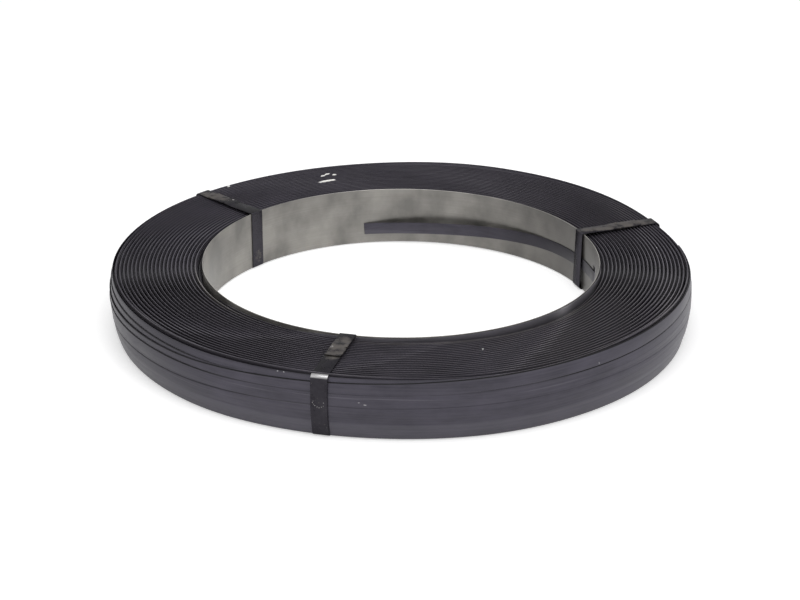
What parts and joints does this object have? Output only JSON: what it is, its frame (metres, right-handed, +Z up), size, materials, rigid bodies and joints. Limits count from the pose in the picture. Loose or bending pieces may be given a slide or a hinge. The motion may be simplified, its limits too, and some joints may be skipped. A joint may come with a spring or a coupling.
{
  "type": "steel strapping coil",
  "caption": "Coil of black waxed steel strapping wound to and fro on a sheet-steel core ring, lying flat and held by narrow binding straps, its inner end through a slot in the core.",
  "frame": {"origin": "on the floor below the coil's axis", "axes": "+Z up along the coil's axis; angles counter-clockwise from +X, with the front of the picture towards -Y"},
  "size_m": [0.5961, 0.5962, 0.0644],
  "materials": {
    "waxed_black_strap": "blackened and waxed strap steel, satin",
    "core_sheet_steel": "bare cold-rolled sheet, mottled",
    "black_binding_strap": "black strap steel, scuffed"
  },
  "bodies": {
    "root": {"strap_winding": "waxed_black_strap", "core_ring": "core_sheet_steel", "binding_strap_front": "black_binding_strap", "binding_strap_left": "black_binding_strap", "binding_strap_right": "black_binding_strap"}
  },
  "joints": []
}
